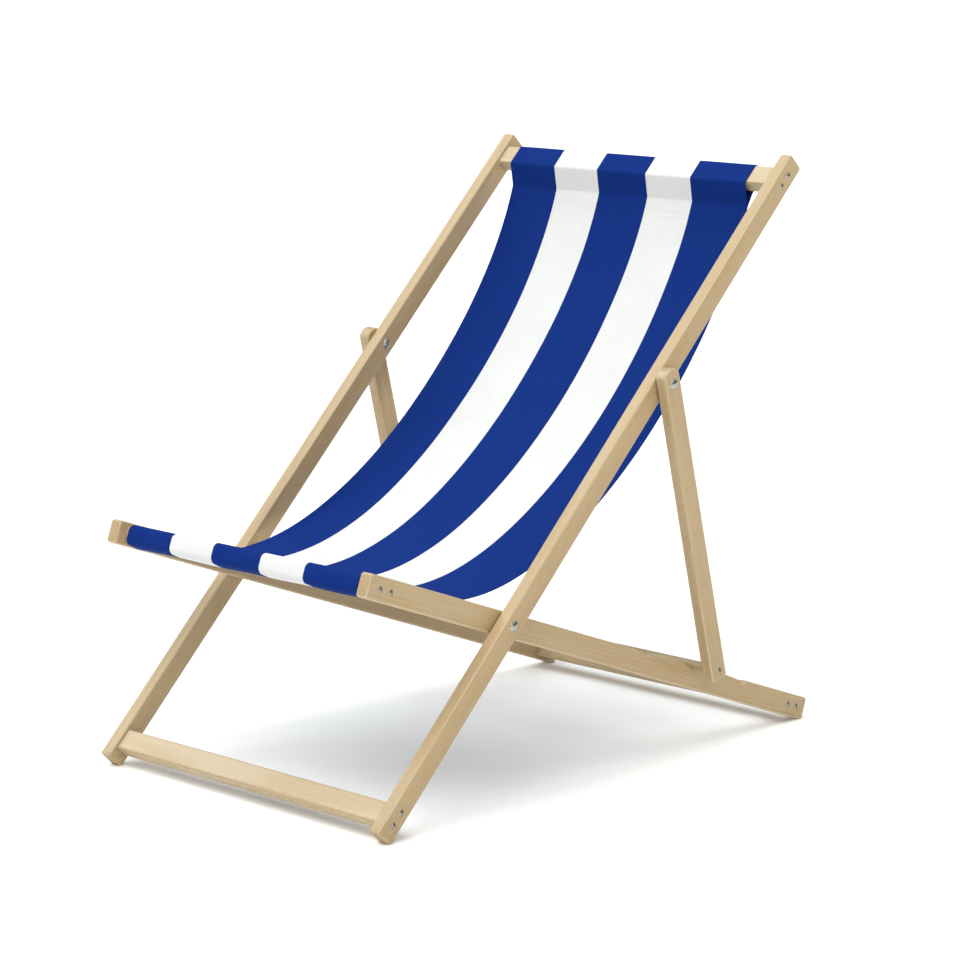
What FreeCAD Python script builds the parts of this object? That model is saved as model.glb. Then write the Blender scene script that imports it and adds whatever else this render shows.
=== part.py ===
import FreeCAD, Part
import math
import os

# Folding deck chair: a back frame, a seat frame that crosses inside it, a prop
# frame outside both, and one striped sling hung between two slats.
# X runs across the chair, with "left" at -X, the front faces -Y, and Z is up.
# Lengths are millimetres. A rail place is given as (along, deep): along the rail
# from its own end, and deep from its upper face towards its underside.

# ---- driving dimensions: frames ----
BACK_WIDTH = 525.0          # over the two back rails
RAIL_THICK = 18.5           # every rail, measured across the chair
BACK_LENGTH = 1072.5        # back rail, foot to top
BACK_DEPTH = 29.0
BACK_SLOPE = 45.1           # degrees up from the floor
SEAT_LENGTH = 872.0         # seat rail, front end to rear foot
SEAT_DEPTH = 31.0
MAIN_PIVOT_UP = 316.5       # along the back rail from its foot
MAIN_PIVOT_BACK = 631.0     # along the seat rail from its rear foot
PROP_PIVOT_UP = 700.0       # along the back rail from its foot
PROP_WIDTH = 28.0
PROP_THICK = 18.0
PROP_CROWN = 20.7           # how far the rounded top stands above the pivot
PROP_CROWN_DROP = 9.5       # how far the crown falls to the leg's two edges
PROP_TOE = 12.0             # leg beyond the crossbar
END_ROUND = 4.0             # corners of each rail end, seen from the side
EDGE_ROUND = 3.0            # long edges of rails and legs
FOOT_FLAT = 0.8             # how deep the lowest corner is planed flat

# ---- driving dimensions: cross pieces ----
SLAT_WIDE = 30.0
SLAT_THICK = 20.0
SLAT_ROUND = 3.0
BOTTOM_SLAT_UP = 30.0       # slat middle from the back rail's foot
TOP_SLAT_DOWN = 34.0        # slat middle from the back rail's top
FRONT_BAR_BACK = 29.0       # bar middle from the seat rail's front end
FRONT_BAR_SUNK = 3.0        # bar's upper face below the seat rail's upper face
FRONT_BAR_ROUND = 7.0       # the bar's two front edges
FRONT_SCREWS_LOW = 3.0      # screws below the bar's middle
REAR_SLAT_UP = 30.0         # slat middle from the seat rail's rear foot
CROSSBAR_DIA = 14.0

# ---- driving dimensions: notches, from each notch's lowest place ----
NOTCH_FROM_REAR = (345.5, 248.0, 142.0)   # along the seat rail from its rear foot
NOTCH_IN_USE = 1
NOTCH_DEEP = 7.2
NOTCH_FLOOR = 2.2           # half of the flat at the bottom
NOTCH_RAMP = 40.0           # where the long ramp starts, in front
NOTCH_KNEE = 13.8           # where the ramp turns steep, in front
NOTCH_KNEE_DEEP = 1.9
NOTCH_LIP = 6.3             # where the rear wall ends
NOTCH_LIP_DEEP = 2.3
NOTCH_END = 15.0            # where the lip is level again
CROSSBAR_CLEAR = 0.3        # crossbar above the two flanks that carry it

# ---- driving dimensions: fasteners and their fits ----
SIDE_GAP = 2.0              # between neighbouring frames, filled by a washer
WASHER_CLEAR = 0.1          # washer short of the gap, each side
WASHER_DIA = 18.0
BOLT_DIA = 6.0
BOLT_HEAD_DIA = 14.0
BOLT_HEAD_HIGH = 3.2
PIVOT_CLEAR = 0.05          # radial, bolt in its holes
NUT_HEAD_DIA = 13.5
NUT_HEAD_HIGH = 3.2
NUT_BARREL_DIA = 8.0
NUT_BARREL_LONG = 12.0      # barrel inside the inner rail
NUT_GRIP = 10.0             # bolt's thread inside the barrel
NUT_BORE_SPARE = 1.0        # bore beyond the bolt's end
SCREW_DIA = 4.0
SCREW_HEAD_DIA = 8.5
SCREW_HEAD_HIGH = 2.2
SCREW_GRIP = 30.0           # thread beyond the rail, inside the cross piece
SCREW_APART = 18.4          # two screws in one slat end
SCREW_CLEAR = 0.05
SCREW_HOLE_SPARE = 1.0      # hole beyond the screw's tip
SOCKET_DIA = 3.4            # across the corners of the screw's hex socket
SOCKET_DEEP = 1.4

# ---- driving dimensions: sling ----
SLING_CLEAR = 8.5           # cloth short of each seat rail, before the shift
SLING_SHIFT = -4.0          # sling middle from the chair's middle
SLING_THICK = 1.2
SLEEVE_CLEAR = 0.4          # sleeve from the wood it goes round
TOP_SEAM_BELOW = 20.0       # from the top slat's lower edge down the back rail
TOP_SEAM_BEHIND = 5.0       # from the top slat's rear face
FRONT_SEAM_SHARE = 0.97     # of the hanging curve, from the top seam
TOP_PULL = 230.0            # how stiffly the sag leaves the top seam
TOP_PULL_ANGLE = -107.1
FRONT_PULL = 301.0          # and the front bar
FRONT_PULL_ANGLE = -36.4
SLEEVE_ROUND = 9.0          # front sleeve's corners
SLEEVE_HANG = 10.0          # how far the front sleeve's loose cloth hangs under the bar

X = FreeCAD.Vector(1, 0, 0)
SIDES = (("left", -1), ("right", 1))

# ---- places across the chair ----
BACK_OUT = BACK_WIDTH / 2
BACK_IN = BACK_OUT - RAIL_THICK
SEAT_OUT = BACK_IN - SIDE_GAP
SEAT_IN = SEAT_OUT - RAIL_THICK
PROP_IN = BACK_OUT + SIDE_GAP
PROP_OUT = PROP_IN + PROP_THICK
FRONT_BAR_DEEP = FRONT_BAR_SUNK + SLAT_THICK / 2
FRONT_SCREWS_DEEP = FRONT_BAR_DEEP + FRONT_SCREWS_LOW
SLING_WIDE = 2 * (SEAT_IN - SLING_CLEAR)


class Rail:
    """A rail's side plane: the direction along it, the direction into its depth, and its start."""

    def __init__(self, along_angle, deep_angle, anchor, anchor_along, anchor_deep):
        self.along = direction(along_angle)
        self.deep = direction(deep_angle)
        self.start = anchor - self.along * anchor_along - self.deep * anchor_deep

    def at(self, along, deep, x=0.0):
        place = self.start + self.along * along + self.deep * deep
        return FreeCAD.Vector(x, place.y, place.z)


def direction(degrees):
    """A unit direction in the chair's side plane, measured up from the rearward floor."""
    turn = math.radians(degrees)
    return FreeCAD.Vector(0, math.cos(turn), math.sin(turn))


def main_pivot_height():
    """Height of the main pivot, with the back rail's planed foot on the floor."""
    slope = math.radians(BACK_SLOPE)
    rise = (MAIN_PIVOT_UP - END_ROUND) * math.sin(slope)
    step = (BACK_DEPTH / 2 - END_ROUND) * math.cos(slope)
    return END_ROUND - FOOT_FLAT + rise + step


def seat_slope():
    """Degrees that the seat rail falls to the rear, with its planed foot on the floor."""
    reach = MAIN_PIVOT_BACK - END_ROUND
    step = SEAT_DEPTH / 2 - END_ROUND
    height = main_pivot_height() - (END_ROUND - FOOT_FLAT)
    turn = math.asin(height / math.hypot(reach, step)) - math.atan2(step, reach)
    return math.degrees(turn)


def seated_crossbar():
    """(along, deep) of the crossbar's middle from a notch's lowest place, resting on both flanks."""
    radius = CROSSBAR_DIA / 2 + CROSSBAR_CLEAR
    ramp_run = NOTCH_KNEE - NOTCH_FLOOR
    ramp_fall = NOTCH_DEEP - NOTCH_KNEE_DEEP
    ramp = math.hypot(ramp_run, ramp_fall)
    wall_run = NOTCH_LIP - NOTCH_FLOOR
    wall_rise = NOTCH_DEEP - NOTCH_LIP_DEEP
    wall = math.hypot(wall_run, wall_rise)
    # unit normals that point up out of the notch, as (along, deep)
    ramp_n = (ramp_fall / ramp, -ramp_run / ramp)
    wall_n = (-wall_rise / wall, -wall_run / wall)
    ramp_sum = radius - NOTCH_KNEE * ramp_n[0] + NOTCH_KNEE_DEEP * ramp_n[1]
    wall_sum = radius + NOTCH_LIP * wall_n[0] + NOTCH_LIP_DEEP * wall_n[1]
    whole = ramp_n[0] * wall_n[1] - ramp_n[1] * wall_n[0]
    along = (ramp_sum * wall_n[1] - ramp_n[1] * wall_sum) / whole
    deep = (ramp_n[0] * wall_sum - ramp_sum * wall_n[0]) / whole
    return along, deep


PIVOT = FreeCAD.Vector(0, 0, main_pivot_height())
BACK = Rail(BACK_SLOPE, BACK_SLOPE - 90, PIVOT, MAIN_PIVOT_UP, BACK_DEPTH / 2)
SEAT_PIVOT = SEAT_LENGTH - MAIN_PIVOT_BACK
SEAT = Rail(-seat_slope(), -seat_slope() - 90, PIVOT, SEAT_PIVOT, SEAT_DEPTH / 2)
PROP_PIVOT = BACK.at(PROP_PIVOT_UP, BACK_DEPTH / 2)
NOTCHES = [SEAT_LENGTH - back for back in NOTCH_FROM_REAR]
SEATED = seated_crossbar()
CROSSBAR = SEAT.at(NOTCHES[NOTCH_IN_USE] + SEATED[0], SEATED[1])
PROP_REACH = (CROSSBAR - PROP_PIVOT).Length
PROP_ANGLE = math.degrees(math.atan2(CROSSBAR.z - PROP_PIVOT.z, CROSSBAR.y - PROP_PIVOT.y))
PROP = Rail(PROP_ANGLE, PROP_ANGLE - 90, PROP_PIVOT, 0.0, PROP_WIDTH / 2)


# ---- building blocks ----
def prism(rail, places, x_low, x_high):
    """A solid with straight sides through (along, deep) places, between two x values."""
    corners = [rail.at(a, d, x_low) for a, d in places]
    face = Part.Face(Part.makePolygon(corners + corners[:1]))
    return face.extrude(X * (x_high - x_low))


def across(edge):
    """Whether an edge is straight and runs across the chair."""
    if not isinstance(edge.Curve, Part.Line):
        return False
    return abs(edge.tangentAt(edge.FirstParameter).x) > 0.999


def round_outline(solid, radius):
    """Round the edges that run across the chair, so the side outline has round corners."""
    return solid.makeFillet(radius, [e for e in solid.Edges if across(e)])


def round_sides(solid, radius, x_low, x_high):
    """Round the edges of the two side faces."""
    picked = []
    for edge in solid.Edges:
        xs = [v.Point.x for v in edge.Vertexes]
        on_low = all(abs(x - x_low) < 0.01 for x in xs)
        on_high = all(abs(x - x_high) < 0.01 for x in xs)
        if on_low or on_high:
            picked.append(edge)
    return solid.makeFillet(radius, picked)


def edges_at(solid, rail, along):
    """The edges that run across the chair at one place along a rail."""
    picked = []
    for edge in [e for e in solid.Edges if across(e)]:
        place = (edge.Vertexes[0].Point - rail.start).dot(rail.along)
        if abs(place - along) < 0.01:
            picked.append(edge)
    return picked


def between(side, inner, outer):
    """The lower and higher x of a piece that spans inner to outer on one side of the chair."""
    return (inner, outer) if side > 0 else (-outer, -inner)


def rod(place, x_from, x_to, diameter):
    """A round bar along X, from one x to another."""
    low = min(x_from, x_to)
    start = FreeCAD.Vector(low, place.y, place.z)
    return Part.makeCylinder(diameter / 2, abs(x_to - x_from), start, X)


def dome_arc(x_base, side, diameter, high):
    """The (x, radius) places of a shallow dome: its tip, a place half way, and its rim."""
    radius = ((diameter / 2) ** 2 + high ** 2) / (2 * high)
    x_middle = x_base + side * (high - radius)
    half_way = math.asin(diameter / 2 / radius) / 2
    half = (x_middle + side * radius * math.cos(half_way), radius * math.sin(half_way))
    return (x_base + side * high, 0.0), half, (x_base, diameter / 2)


def turned(place, arc, rest):
    """A turned piece: a dome's arc and straight (x, radius) places, spun about X at place."""
    def spot(x, radius):
        return FreeCAD.Vector(x, place.y + radius, place.z)

    line = [spot(*arc[2])] + [spot(*p) for p in rest] + [spot(*arc[0])]
    edges = [Part.Arc(*[spot(*p) for p in arc]).toShape()]
    edges += [Part.makeLine(a, b) for a, b in zip(line, line[1:])]
    face = Part.Face(Part.Wire(edges))
    return face.revolve(FreeCAD.Vector(0, place.y, place.z), X, 360)


def headed_shank(place, side, x_head, x_tip, head_dia, head_high, shank_dia):
    """A dome head seated on x_head, and a shank to x_tip."""
    arc = dome_arc(x_head, side, head_dia, head_high)
    rest = [(x_head, shank_dia / 2), (x_tip, shank_dia / 2), (x_tip, 0.0)]
    return turned(place, arc, rest)


def cut_all(solid, tools):
    for tool in tools:
        solid = solid.cut(tool)
    return solid


# ---- wooden pieces ----
def back_rail(side):
    x_low, x_high = between(side, BACK_IN, BACK_OUT)
    corners = [(0, 0), (BACK_LENGTH, 0), (BACK_LENGTH, BACK_DEPTH), (0, BACK_DEPTH)]
    solid = round_outline(prism(BACK, corners, x_low, x_high), END_ROUND)
    solid = round_sides(solid, EDGE_ROUND, x_low, x_high)
    holes = [
        rod(p, x_low, x_high, BOLT_DIA + 2 * PIVOT_CLEAR) for p in (PIVOT, PROP_PIVOT)
    ]
    holes.append(barrel_hole(PROP_PIVOT, side, BACK_IN))
    for middle in (BOTTOM_SLAT_UP, BACK_LENGTH - TOP_SLAT_DOWN):
        holes += screw_holes(BACK, middle, BACK_DEPTH / 2, x_low, x_high)
    return cut_all(solid, holes + [below_floor()])


def seat_rail(side):
    x_low, x_high = between(side, SEAT_IN, SEAT_OUT)
    corners = [(0, 0), (SEAT_LENGTH, 0), (SEAT_LENGTH, SEAT_DEPTH), (0, SEAT_DEPTH)]
    solid = round_outline(prism(SEAT, corners, x_low, x_high), END_ROUND)
    solid = round_sides(solid, EDGE_ROUND, x_low, x_high)
    tools = [notch(lowest, x_low, x_high) for lowest in NOTCHES]
    tools.append(rod(PIVOT, x_low, x_high, BOLT_DIA + 2 * PIVOT_CLEAR))
    tools.append(barrel_hole(PIVOT, side, SEAT_IN))
    tools += screw_holes(SEAT, FRONT_BAR_BACK, FRONT_SCREWS_DEEP, x_low, x_high)
    tools += screw_holes(SEAT, SEAT_LENGTH - REAR_SLAT_UP, SEAT_DEPTH / 2, x_low, x_high)
    return cut_all(solid, tools + [below_floor()])


def notch(lowest, x_low, x_high):
    """What one notch takes away: a long curved ramp, a flat bottom, a steep wall and a lip."""
    above = -EDGE_ROUND
    clear = 1.0
    places = [
        (-NOTCH_RAMP, 0.0),
        (-NOTCH_KNEE, NOTCH_KNEE_DEEP),
        (-NOTCH_FLOOR, NOTCH_DEEP),
        (NOTCH_FLOOR, NOTCH_DEEP),
        (NOTCH_LIP, NOTCH_LIP_DEEP),
        (NOTCH_END, 0.0),
        (NOTCH_END, above),
        (-NOTCH_RAMP, above),
    ]
    points = [SEAT.at(lowest + a, d, x_low - clear) for a, d in places]
    ramp_middle = SEAT.at(
        lowest - (NOTCH_RAMP + NOTCH_KNEE) / 2, NOTCH_KNEE_DEEP / 4, x_low - clear
    )
    lip_middle = SEAT.at(
        lowest + (NOTCH_LIP + NOTCH_END) / 2, NOTCH_LIP_DEEP / 5, x_low - clear
    )
    edges = [Part.Arc(points[0], ramp_middle, points[1]).toShape()]
    edges += [Part.makeLine(points[i], points[i + 1]) for i in (1, 2, 3)]
    edges.append(Part.Arc(points[4], lip_middle, points[5]).toShape())
    edges += [Part.makeLine(points[i], points[(i + 1) % 8]) for i in (5, 6, 7)]
    face = Part.Face(Part.Wire(edges))
    return face.extrude(X * (x_high - x_low + 2 * clear))


def slat(rail, middle, deep_middle, half_span):
    """A flat cross piece whose wide face lies along the rail."""
    low, high = middle - SLAT_WIDE / 2, middle + SLAT_WIDE / 2
    top, under = deep_middle - SLAT_THICK / 2, deep_middle + SLAT_THICK / 2
    corners = [(low, top), (high, top), (high, under), (low, under)]
    solid = round_outline(prism(rail, corners, -half_span, half_span), SLAT_ROUND)
    return cut_all(solid, slat_end_holes(rail, middle, deep_middle, half_span))


def front_bar():
    """The front cross piece, its two front edges well rounded for the sling and the sitter's legs."""
    low, high = FRONT_BAR_BACK - SLAT_WIDE / 2, FRONT_BAR_BACK + SLAT_WIDE / 2
    top, under = FRONT_BAR_SUNK, FRONT_BAR_SUNK + SLAT_THICK
    corners = [(low, top), (high, top), (high, under), (low, under)]
    solid = prism(SEAT, corners, -SEAT_IN, SEAT_IN)
    solid = solid.makeFillet(FRONT_BAR_ROUND, edges_at(solid, SEAT, low))
    solid = solid.makeFillet(SLAT_ROUND, edges_at(solid, SEAT, high))
    return cut_all(solid, slat_end_holes(SEAT, FRONT_BAR_BACK, FRONT_SCREWS_DEEP, SEAT_IN))


def prop_leg(side):
    """A leg outside the back rail: a crowned top, a square toe, and holes for bolt and screw."""
    x_low, x_high = between(side, PROP_IN, PROP_OUT)
    toe = PROP_REACH + PROP_TOE
    shoulder = -(PROP_CROWN - PROP_CROWN_DROP)
    crown = Part.Arc(
        PROP.at(shoulder, 0, x_low),
        PROP.at(-PROP_CROWN, PROP_WIDTH / 2, x_low),
        PROP.at(shoulder, PROP_WIDTH, x_low),
    ).toShape()
    sides = Part.makePolygon([
        PROP.at(shoulder, PROP_WIDTH, x_low),
        PROP.at(toe, PROP_WIDTH, x_low),
        PROP.at(toe, 0, x_low),
        PROP.at(shoulder, 0, x_low),
    ])
    face = Part.Face(Part.Wire([crown] + sides.Edges))
    solid = face.extrude(X * PROP_THICK)
    solid = solid.makeFillet(END_ROUND, edges_at(solid, PROP, toe))
    solid = round_sides(solid, EDGE_ROUND, x_low, x_high)
    bolt_hole = rod(PROP_PIVOT, x_low, x_high, BOLT_DIA + 2 * PIVOT_CLEAR)
    screw_hole = rod(CROSSBAR, x_low, x_high, SCREW_DIA + 2 * SCREW_CLEAR)
    return cut_all(solid, [bolt_hole, screw_hole])


def prop_crossbar():
    """The round bar that drops into the notches, butted between the two legs."""
    solid = rod(CROSSBAR, -PROP_IN, PROP_IN, CROSSBAR_DIA)
    hole = SCREW_DIA + 2 * SCREW_CLEAR
    depth = SCREW_GRIP + SCREW_HOLE_SPARE
    ends = [rod(CROSSBAR, side * PROP_IN, side * (PROP_IN - depth), hole) for _, side in SIDES]
    return cut_all(solid, ends)


# ---- screws and their holes ----
def screw_pair(rail, middle, deep):
    """The two screw places at one end of a cross piece."""
    return [rail.at(middle + half * SCREW_APART / 2, deep) for half in (-1, 1)]


def screw_holes(rail, middle, deep, x_low, x_high):
    return [
        rod(p, x_low, x_high, SCREW_DIA + 2 * SCREW_CLEAR)
        for p in screw_pair(rail, middle, deep)
    ]


def slat_end_holes(rail, middle, deep, half_span):
    """Blind holes in both ends of a cross piece."""
    holes = []
    for _, side in SIDES:
        x_deep = side * (half_span - SCREW_GRIP - SCREW_HOLE_SPARE)
        holes += screw_holes(rail, middle, deep, side * half_span, x_deep)
    return holes


def screw(place, side, x_head, x_tip):
    """A dome-head screw with a hex socket, its head seated on x_head."""
    solid = headed_shank(
        place, side, x_head, x_tip, SCREW_HEAD_DIA, SCREW_HEAD_HIGH, SCREW_DIA
    )
    x_socket = x_head + side * (SCREW_HEAD_HIGH - SOCKET_DEEP)
    corners = []
    for i in range(7):
        spoke = direction(60 * i) * (SOCKET_DIA / 2)
        corners.append(FreeCAD.Vector(x_socket, place.y, place.z) + spoke)
    socket = Part.Face(Part.makePolygon(corners)).extrude(X * side * SCREW_HEAD_HIGH)
    return solid.cut(socket)


def slat_screws(rail, middle, deep, x_outer, x_inner):
    """The four screws of one cross piece, two at each end."""
    solids = []
    for _, side in SIDES:
        for place in screw_pair(rail, middle, deep):
            solids.append(screw(place, side, side * x_outer, side * (x_inner - SCREW_GRIP)))
    return Part.makeCompound(solids)


def crossbar_screws():
    solids = []
    for _, side in SIDES:
        tip = side * (PROP_IN - SCREW_GRIP)
        solids.append(screw(CROSSBAR, side, side * PROP_OUT, tip))
    return Part.makeCompound(solids)


# ---- pivot bolts ----
def pivot_bolt(place, side, x_head, x_end):
    """A dome-head bolt from x_head on the outside to x_end on the inside."""
    return headed_shank(
        place, side, side * x_head, side * x_end, BOLT_HEAD_DIA, BOLT_HEAD_HIGH, BOLT_DIA
    )


def spacer_washer(place, side, x_inner):
    """The washer that fills the gap between two frames, short of it by its clearance."""
    low = side * (x_inner + WASHER_CLEAR)
    high = side * (x_inner + SIDE_GAP - WASHER_CLEAR)
    disc = rod(place, low, high, WASHER_DIA)
    return disc.cut(rod(place, low, high, BOLT_DIA + 2 * PIVOT_CLEAR))


def barrel_hole(place, side, x_face):
    """The wider hole for a nut's barrel, from the inner face of the inner rail."""
    deep = x_face + NUT_BARREL_LONG
    return rod(place, side * x_face, side * deep, NUT_BARREL_DIA + 2 * PIVOT_CLEAR)


def barrel_nut(place, side, x_face):
    """A dome-head nut on the inner face, its barrel sunk in the rail around the bolt's end."""
    x_seat = side * x_face
    x_mouth = side * (x_face + NUT_BARREL_LONG - WASHER_CLEAR)
    x_blind = side * (bolt_end(x_face) - NUT_BORE_SPARE)
    bore = BOLT_DIA / 2 + PIVOT_CLEAR
    barrel = NUT_BARREL_DIA / 2
    arc = dome_arc(x_seat, -side, NUT_HEAD_DIA, NUT_HEAD_HIGH)
    rest = [(x_seat, barrel), (x_mouth, barrel), (x_mouth, bore), (x_blind, bore), (x_blind, 0.0)]
    return turned(place, arc, rest)


def bolt_end(x_face):
    """Where a bolt ends inside the barrel nut that is seated on an inner face."""
    return x_face + NUT_BARREL_LONG - WASHER_CLEAR - NUT_GRIP


# ---- sling ----
def band(outline):
    """The face between a closed outline and the same outline grown by the cloth's thickness."""
    hole = Part.Wire(Part.makePolygon(outline + outline[:1]).Edges)
    grown = Part.Face(hole).makeOffset2D(SLING_THICK, 0, False, False, True)
    return Part.Face(grown.OuterWire).cut(Part.Face(hole))


def top_sleeve():
    low = BACK_LENGTH - TOP_SLAT_DOWN - SLAT_WIDE / 2 - SLEEVE_CLEAR
    high = low + SLAT_WIDE + 2 * SLEEVE_CLEAR
    front = BACK_DEPTH / 2 - SLAT_THICK / 2 - SLEEVE_CLEAR
    rear = front + SLAT_THICK + 2 * SLEEVE_CLEAR
    places = [(low, front), (high, front), (high, rear)]
    return band([BACK.at(a, d) for a, d in places] + [top_seam()])


def top_seam():
    """Where the front and the rear of the top sleeve meet."""
    along = BACK_LENGTH - TOP_SLAT_DOWN - SLAT_WIDE / 2 - TOP_SEAM_BELOW
    return BACK.at(along, BACK_DEPTH / 2 + SLAT_THICK / 2 + TOP_SEAM_BEHIND)


def bar_corner():
    """The front bar's upper rear corner, which the hanging cloth comes to."""
    return SEAT.at(FRONT_BAR_BACK + SLAT_WIDE / 2 + SLEEVE_CLEAR, FRONT_BAR_SUNK - SLEEVE_CLEAR)


def front_sleeve():
    """Over the front bar, loose beneath it, and back to the seam under the hanging cloth."""
    front = FRONT_BAR_BACK - SLAT_WIDE / 2 - SLEEVE_CLEAR
    rear = FRONT_BAR_BACK + SLAT_WIDE / 2 + SLEEVE_CLEAR
    top = FRONT_BAR_SUNK - SLEEVE_CLEAR
    under = FRONT_BAR_SUNK + SLAT_THICK + SLEEVE_HANG
    places = [
        (front + SLEEVE_ROUND / 2, top),
        (front, top + SLEEVE_ROUND / 2),
        (front, under - SLEEVE_ROUND),
        (front + SLEEVE_ROUND, under),
        (rear, under),
    ]
    seam = sag_curve().value(FRONT_SEAM_SHARE)
    return band([bar_corner()] + [SEAT.at(a, d) for a, d in places] + [seam])


def sag_curve():
    """The side line of the hanging cloth, from the top seam to the front bar."""
    top = top_seam()
    front = bar_corner()
    curve = Part.BezierCurve()
    curve.setPoles([
        top,
        top + direction(TOP_PULL_ANGLE) * TOP_PULL,
        front + direction(FRONT_PULL_ANGLE) * FRONT_PULL,
        front,
    ])
    return curve


def sag_band():
    """The cloth between the two seams, as a face of even thickness."""
    curve = sag_curve()
    steps = 24
    upper, lower = [], []
    for i in range(steps + 1):
        point = curve.value(i / steps)
        tangent = curve.tangent(i / steps)[0]
        normal = FreeCAD.Vector(0, -tangent.z, tangent.y)
        upper.append(point + normal * (SLING_THICK / 2))
        lower.append(point - normal * (SLING_THICK / 2))
    lower.reverse()
    edges = []
    for line in (upper, lower):
        spline = Part.BSplineCurve()
        spline.interpolate(line)
        edges.append(spline.toShape())
    edges.insert(1, Part.makeLine(upper[-1], lower[0]))
    edges.append(Part.makeLine(lower[-1], upper[0]))
    return Part.Face(Part.Wire(edges))


def sling():
    """One strip of cloth with a sleeve at each end."""
    solids = []
    for face in (top_sleeve(), front_sleeve(), sag_band()):
        solids.append(face.extrude(X * SLING_WIDE))
    whole = solids[0].fuse(solids[1:]).removeSplitter()
    whole.translate(FreeCAD.Vector(SLING_SHIFT - SLING_WIDE / 2, 0, 0))
    return whole


def below_floor():
    """A block under the floor that planes the feet flat."""
    size = 3 * max(BACK_LENGTH, SEAT_LENGTH)
    corner = FreeCAD.Vector(-size / 2, -size / 2, -50)
    return Part.makeBox(size, size, 50, corner)


def build():
    nodes = {
        "top_slat": slat(BACK, BACK_LENGTH - TOP_SLAT_DOWN, BACK_DEPTH / 2, BACK_IN),
        "bottom_slat": slat(BACK, BOTTOM_SLAT_UP, BACK_DEPTH / 2, BACK_IN),
        "front_bar": front_bar(),
        "rear_slat": slat(SEAT, SEAT_LENGTH - REAR_SLAT_UP, SEAT_DEPTH / 2, SEAT_IN),
        "prop_crossbar": prop_crossbar(),
        "sling": sling(),
        "top_slat_screws": slat_screws(
            BACK, BACK_LENGTH - TOP_SLAT_DOWN, BACK_DEPTH / 2, BACK_OUT, BACK_IN
        ),
        "bottom_slat_screws": slat_screws(
            BACK, BOTTOM_SLAT_UP, BACK_DEPTH / 2, BACK_OUT, BACK_IN
        ),
        "front_bar_screws": slat_screws(
            SEAT, FRONT_BAR_BACK, FRONT_SCREWS_DEEP, SEAT_OUT, SEAT_IN
        ),
        "rear_slat_screws": slat_screws(
            SEAT, SEAT_LENGTH - REAR_SLAT_UP, SEAT_DEPTH / 2, SEAT_OUT, SEAT_IN
        ),
        "crossbar_screws": crossbar_screws(),
    }
    for name, side in SIDES:
        nodes["back_rail_" + name] = back_rail(side)
        nodes["seat_rail_" + name] = seat_rail(side)
        nodes["prop_leg_" + name] = prop_leg(side)
        nodes["main_bolt_" + name] = pivot_bolt(PIVOT, side, BACK_OUT, bolt_end(SEAT_IN))
        nodes["main_washer_" + name] = spacer_washer(PIVOT, side, SEAT_OUT)
        nodes["main_nut_" + name] = barrel_nut(PIVOT, side, SEAT_IN)
        nodes["prop_bolt_" + name] = pivot_bolt(PROP_PIVOT, side, PROP_OUT, bolt_end(BACK_IN))
        nodes["prop_washer_" + name] = spacer_washer(PROP_PIVOT, side, BACK_OUT)
        nodes["prop_nut_" + name] = barrel_nut(PROP_PIVOT, side, BACK_IN)
    return nodes


def main():
    os.makedirs("parts", exist_ok=True)
    nodes = build()
    box = Part.makeCompound(list(nodes.values())).optimalBoundingBox(False)
    # the origin is on the floor, under the middle of the whole chair
    shift = FreeCAD.Vector(-(box.XMin + box.XMax) / 2, -(box.YMin + box.YMax) / 2, -box.ZMin)
    for name, shape in nodes.items():
        shape.translate(shift)
        shape.exportStep("parts/" + name + ".step")
    places = (("main pivot", PIVOT), ("prop pivot", PROP_PIVOT), ("crossbar", CROSSBAR))
    for label, place in places:
        moved = place + shift
        print(label, "y", round(moved.y, 4), "z", round(moved.z, 4))
    print("size", round(box.XLength, 2), round(box.YLength, 2), round(box.ZLength, 2))
    print("seat slope", round(seat_slope(), 3), "prop angle", round(PROP_ANGLE, 3))
    print("prop reach", round(PROP_REACH, 3), "crossbar seat", SEATED)
    print("sag length", round(sag_curve().length(), 1))


main()
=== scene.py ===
# %% [markdown]
# # A folding deck chair
#
# The chair is a back frame, a seat frame that crosses inside it, and a short prop
# frame whose round bar drops in the seat rails' notches. One striped canvas sling
# hangs between the top slat and the front bar. The wooden pieces, bolts and screws
# come ready-made as solids, at their real size. This lesson gives them their
# finish, and makes the one soft piece, the sling.

# %% Load the frame
import bpy
import math
from mathutils import Matrix, Vector, noise


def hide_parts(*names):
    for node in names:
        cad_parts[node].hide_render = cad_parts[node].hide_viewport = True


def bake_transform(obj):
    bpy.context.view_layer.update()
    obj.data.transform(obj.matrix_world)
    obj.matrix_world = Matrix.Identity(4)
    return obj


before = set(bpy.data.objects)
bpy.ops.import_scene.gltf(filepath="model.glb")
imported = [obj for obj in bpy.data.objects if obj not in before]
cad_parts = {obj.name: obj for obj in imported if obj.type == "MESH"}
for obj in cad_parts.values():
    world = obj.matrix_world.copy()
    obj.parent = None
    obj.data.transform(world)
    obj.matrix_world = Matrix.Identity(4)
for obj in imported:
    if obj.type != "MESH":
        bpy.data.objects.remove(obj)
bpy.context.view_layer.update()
MM = 0.001
print("pieces in the frame:", len(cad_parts))

# %% [markdown]
# ## A side plane for each frame
#
# Everything on the chair is laid out in side view, along a rail and from its upper
# edge towards its underside. Those two directions could be typed in as angles, but
# then a change of slope would leave the cloth behind. So they are read from the
# rail itself: its widest flat face that doesn't look sideways is its underside.

# %% Side planes
ACROSS = Vector((1, 0, 0))
NEARLY_NONE = 0.01


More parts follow.
